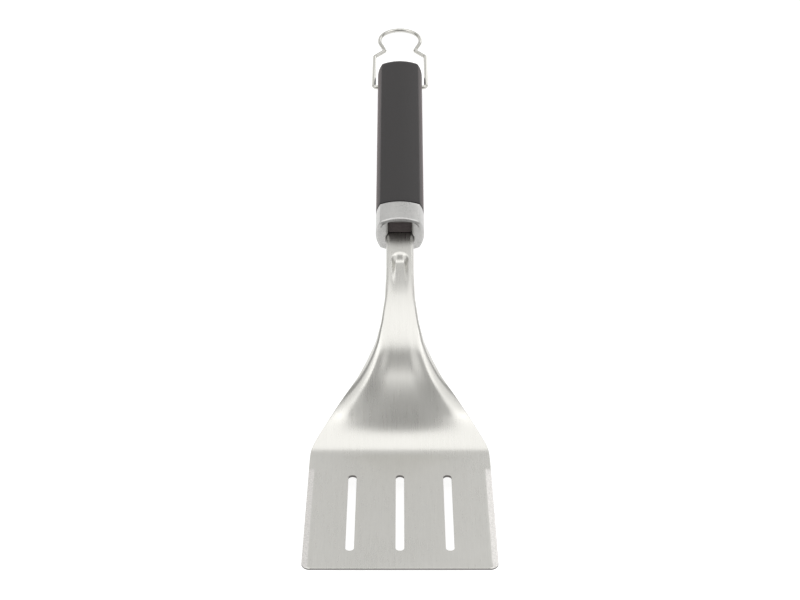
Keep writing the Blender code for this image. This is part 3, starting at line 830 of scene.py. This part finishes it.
# %% Loop wire
def corner_arc(before, corner, after, radius, steps=9):
    """Points on the arc that touches both legs of a corner."""
    before, corner, after = (np.array(point, float) for point in (before, corner, after))
    back, onward = before - corner, after - corner
    back, onward = back / np.linalg.norm(back), onward / np.linalg.norm(onward)
    half_angle = np.arccos(np.clip(back @ onward, -1, 1)) / 2
    bisector = (back + onward) / np.linalg.norm(back + onward)
    centre = corner + bisector * radius / np.sin(half_angle)
    spokes = [corner + leg * radius / np.tan(half_angle) - centre for leg in (back, onward)]
    shares = np.linspace(0.0, 1.0, steps)[:, None]
    arc = (1 - shares) * spokes[0] + shares * spokes[1]
    return centre + radius * arc / np.linalg.norm(arc, axis=1, keepdims=True)


def evenly(points, spacing):
    """The same line with points at even distances."""
    travelled = np.concatenate([[0.0], np.cumsum(np.linalg.norm(np.diff(points, axis=0), axis=1))])
    at = np.linspace(0.0, travelled[-1], int(travelled[-1] / spacing) + 1)
    return np.stack([np.interp(at, travelled, points[:, axis]) for axis in range(points.shape[1])], axis=-1)


def loop_line():
    """The wire's middle line: one half as rounded corners and an arc that the waist's leg meets, mirrored."""
    end, foot = (WIRE_END, 0.0), (LEG_HALF, 0.0)
    shoulder, waist = (SHOULDER_HALF, SHOULDER_AT), (WAIST_HALF, WAIST_AT)
    drop = RING_CENTRE - WAIST_AT
    start = np.arccos(RING_RADIUS / np.hypot(WAIST_HALF, drop)) - np.arctan2(drop, WAIST_HALF)
    turns = np.linspace(start, np.pi / 2, 60)
    ring = np.stack([RING_RADIUS * np.cos(turns), RING_CENTRE + RING_RADIUS * np.sin(turns)], axis=-1)
    half = np.vstack([
        [end], corner_arc(end, foot, shoulder, 2.2), corner_arc(foot, shoulder, waist, 2.4),
        corner_arc(shoulder, waist, ring[0], 1.6), ring,
    ])
    return evenly(np.vstack([half, half[-2::-1] * (-1, 1)]), 0.45)


def polished_wire():
    """Bright drawn wire."""
    made, shader, start = finish_named("polished_wire", (0.52, 0.515, 0.48), 0.13, 1.0)
    drawn = noise(start, 900.0, 2.0)
    wire_up(
        start, shader,
        Base_Color=tinted(start, (0.42, 0.415, 0.385), (0.62, 0.61, 0.58), drawn),
        Roughness=0.08 + 0.10 * drawn,
        Normal=bumped(start, drawn, 0.08, 0.00004),
    )
    return made


def wire_object():
    """A circle carried along the line: middle, plus cosine times the line's normal, plus sine times up."""
    line = loop_line()
    tangent = np.gradient(line, axis=0)
    tangent /= np.linalg.norm(tangent, axis=1, keepdims=True)
    normal = np.stack([-tangent[:, 1], tangent[:, 0]], axis=-1)
    around = np.linspace(0.0, 2 * np.pi, 24, endpoint=False)
    radius = np.full(len(line), WIRE_RADIUS)
    radius[[0, -1]] *= 0.8  # softens the cut ends
    side = radius[:, None] * np.cos(around)
    x = line[:, :1] + side * normal[:, :1]
    y = line[:, 1:] + side * normal[:, 1:]
    z = radius[:, None] * np.sin(around)
    return tube("hanging_loop_wire", loop_place.world(x, y, z), sharp=60.0)


wire = wire_object()
wire.data.materials.append(polished_wire())
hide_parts("hanging_loop")
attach(wire, "loop")
print("wire faces:", len(wire.data.polygons))

# %% [markdown]
# ## The hidden pieces
#
# The core, the two pins and the two liners keep the frame's own shapes. They get real finishes all the
# same, because a stripped-down view shows them.


# %% Finishes for the frame's own pieces
def paint(node, made):
    """Gives one of the frame's nodes a finish instead of its plain material."""
    data = frame["nodes"][node].data
    data.materials.clear()
    data.materials.append(made)


core_black = dark_plastic("core_black", (0.016, 0.016, 0.016), (0.028, 0.028, 0.028), 0.42)
bush_grey = dark_plastic("bush_grey", (0.030, 0.030, 0.030), (0.055, 0.055, 0.055), 0.35)
hidden = {
    "handle_core": core_black,
    "loop_bush_left": bush_grey,
    "loop_bush_right": bush_grey,
    "tang_pin_front": steel,
    "tang_pin_rear": steel,
}
for node, made in hidden.items():
    paint(node, made)
print("painted:", ", ".join(hidden))

# %% [markdown]
# ## Floor, light and camera
#
# A plain white floor and soft light suit bright metal, because metal shows whatever stands round it. A large
# light behind and above fills the heel's bend and the neck. A lower one behind gives the flat blade its even
# grey, two small ones beside it open the bevels, and one light on each side opens the sloping edges.

# %% Floor
FLOOR_HALF, FLOOR_DROP = 12.0, 0.0002  # metres: half the floor's side, and how far it lies below the tool
floor_z = cad_box[0][2] - FLOOR_DROP
floor_corners = [[x, y, floor_z] for x, y in ((-FLOOR_HALF, -FLOOR_HALF), (FLOOR_HALF, -FLOOR_HALF),
                                              (FLOOR_HALF, FLOOR_HALF), (-FLOOR_HALF, FLOOR_HALF))]
floor = finish_mesh("floor", np.array(floor_corners), [np.array([[0, 1, 2, 3]])])
floor_white, *_ = finish_named(
    "floor_white", (0.5, 0.5, 0.5), 0.8,
    Emission_Color=(1.0, 1.0, 1.0, 1.0), Emission_Strength=0.75, Specular_IOR_Level=0.0,
)
floor.data.materials.append(floor_white)


# %% Lights
LIGHT_DISTANCE = 3.0


def soft_light(name, azimuth, elevation, wide, high, radiance):
    """An area light aimed at the tool; its power is its radiance times its area times pi."""
    data = bpy.data.lights.new(name, "AREA")
    data.shape, data.size, data.size_y = "RECTANGLE", wide, high
    data.energy = radiance * wide * high * np.pi
    light = bpy.data.objects.new(name, data)
    bpy.context.scene.collection.objects.link(light)
    a, e = radians(azimuth), radians(elevation)
    way = np.array([np.sin(a) * np.cos(e), np.cos(a) * np.cos(e), np.sin(e)])
    light.location = way * LIGHT_DISTANCE
    light.rotation_euler = (radians(90 - elevation), 0.0, np.pi - a)
    light.visible_camera = False


world = bpy.data.worlds.new("pale_room")
bpy.context.scene.world = world
world.use_nodes = True
background = world.node_tree.nodes["Background"]
background.inputs["Color"].default_value = (0.46, 0.46, 0.455, 1.0)
background.inputs["Strength"].default_value = 1.0
soft_light("back_softbox", 0.0, 69.5, 4.0, 2.75, 1.2)
soft_light("back_card", 0.0, 19.0, 5.0, 2.9, 0.45)
soft_light("right_card", 28.0, 10.0, 1.5, 1.4, 1.0)
soft_light("left_card", -30.0, 10.0, 1.4, 1.4, 0.25)
soft_light("right_softbox", 95.0, 38.0, 3.6, 3.6, 0.7)
soft_light("left_softbox", -103.0, 40.0, 3.2, 3.8, 0.7)

# %% Camera
LENS, SENSOR = 78.75, 36.0
CAMERA_ACROSS = 0.05
VIEW_ANGLE = radians(28.6)  # between the camera's axis and the plane of the blade
FRONT_DEPTH, FRONT_DROP = 939.4, 143.9  # the blade's front edge: distance along the axis, and below it
ahead = np.array([np.cos(VIEW_ANGLE), -np.sin(VIEW_ANGLE)])
upward = np.array([np.sin(VIEW_ANGLE), np.cos(VIEW_ANGLE)])
eye_along, eye_up = -FRONT_DEPTH * ahead + FRONT_DROP * upward + (0.0, SHEET)
camera_data = bpy.data.cameras.new("camera")
camera_data.lens, camera_data.sensor_width = LENS, SENSOR
camera = bpy.data.objects.new("camera", camera_data)
bpy.context.scene.collection.objects.link(camera)
camera.location = tool.world(CAMERA_ACROSS, eye_along, eye_up)
camera.rotation_euler = (np.pi / 2 - VIEW_ANGLE + tool.pitch, 0.0, 0.0)
bpy.context.scene.camera = camera
bpy.context.scene.view_settings.view_transform = "Standard"
print(f"camera looks down at {np.degrees(VIEW_ANGLE - tool.pitch):.1f} degrees")
